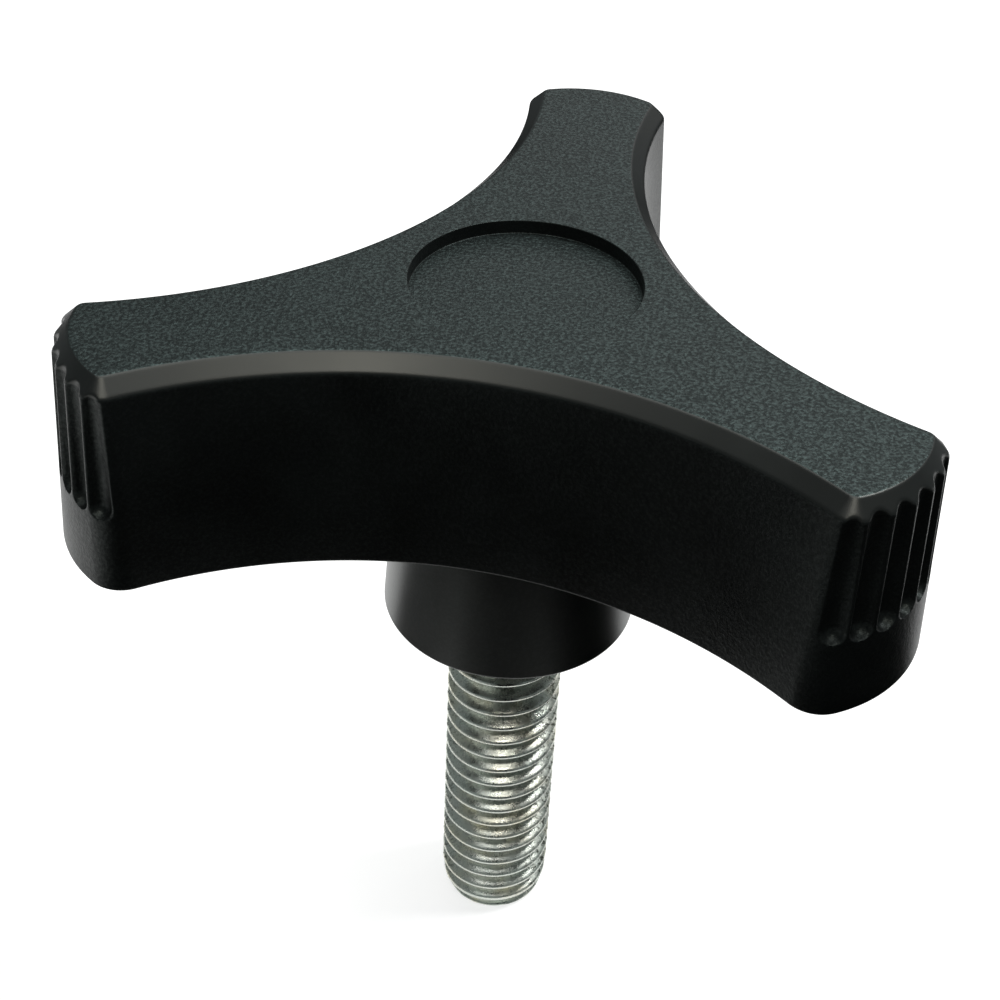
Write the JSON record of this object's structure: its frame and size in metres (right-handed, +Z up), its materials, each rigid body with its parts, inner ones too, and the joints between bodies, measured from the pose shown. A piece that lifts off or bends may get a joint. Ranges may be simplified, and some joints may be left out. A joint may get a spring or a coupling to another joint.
{
  "type": "three-arm clamping knob with threaded stud",
  "caption": "Clamping knob: a black moulded star of arms with fluted ends and a shallow round recess in the top, on a hub with a zinc-plated threaded stud.",
  "frame": {"origin": "centre of the hub's flat seat face, where the stud leaves it", "axes": "+Z up along the stud's axis through the knob, the stud runs along -Z, +Y along one arm"},
  "size_m": [0.0516, 0.0464, 0.0535],
  "materials": {
    "black_plastic": "fine spark-eroded grain, smooth bevel and hub",
    "zinc_plated_steel": "bright zinc plating, rolled thread"
  },
  "bodies": {
    "root": {"knob_body": "black_plastic", "threaded_stud": "zinc_plated_steel"}
  },
  "joints": []
}
